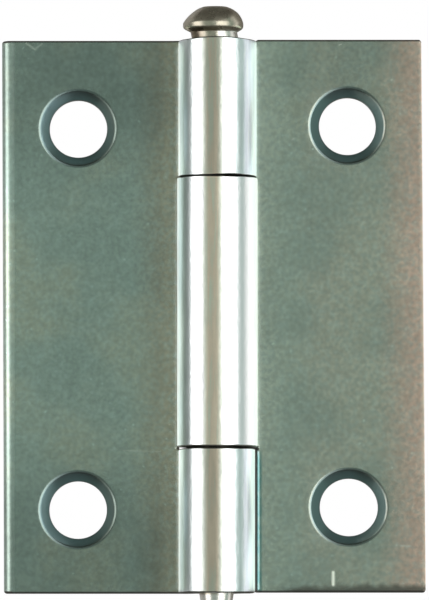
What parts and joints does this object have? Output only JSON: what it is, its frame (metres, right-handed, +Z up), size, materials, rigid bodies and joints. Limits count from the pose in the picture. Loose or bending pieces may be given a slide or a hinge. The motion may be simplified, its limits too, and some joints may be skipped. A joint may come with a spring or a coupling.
{
  "type": "narrow hinge",
  "caption": "Narrow steel butt hinge: flat stamped leaves with countersunk screw holes, knuckles rolled round a loose headed pin, for small doors and box lids.",
  "frame": {"origin": "on the pin's axis, at mid height of the left leaf", "axes": "+Z up the pin towards its head, +X towards the right leaf, +Y out of the back that is screwed down; the countersunk front faces -Y"},
  "size_m": [0.038, 0.0071, 0.0554],
  "materials": {
    "leaf_plating": "bright zinc plating with a faint green and bronze passivation tint, satin on the flats and bright on the rolled knuckles",
    "pin_steel": "plain drawn steel, slightly darkened, with a smooth upset head"
  },
  "bodies": {
    "left_leaf": {"left_leaf": "leaf_plating"},
    "right_leaf": {"right_leaf": "leaf_plating"},
    "pin": {"hinge_pin": "pin_steel"}
  },
  "joints": [
    {"name": "leaf_swing", "type": "hinge", "parent": "left_leaf", "child": "right_leaf", "pos_m": [0, 0, 0], "axis": [0, 0, -1], "range_deg": [-85, 188]},
    {"name": "pin_lift", "type": "slide", "parent": "left_leaf", "child": "pin", "axis": [0, 0, 1], "range_m": [0, 0.054]}
  ]
}
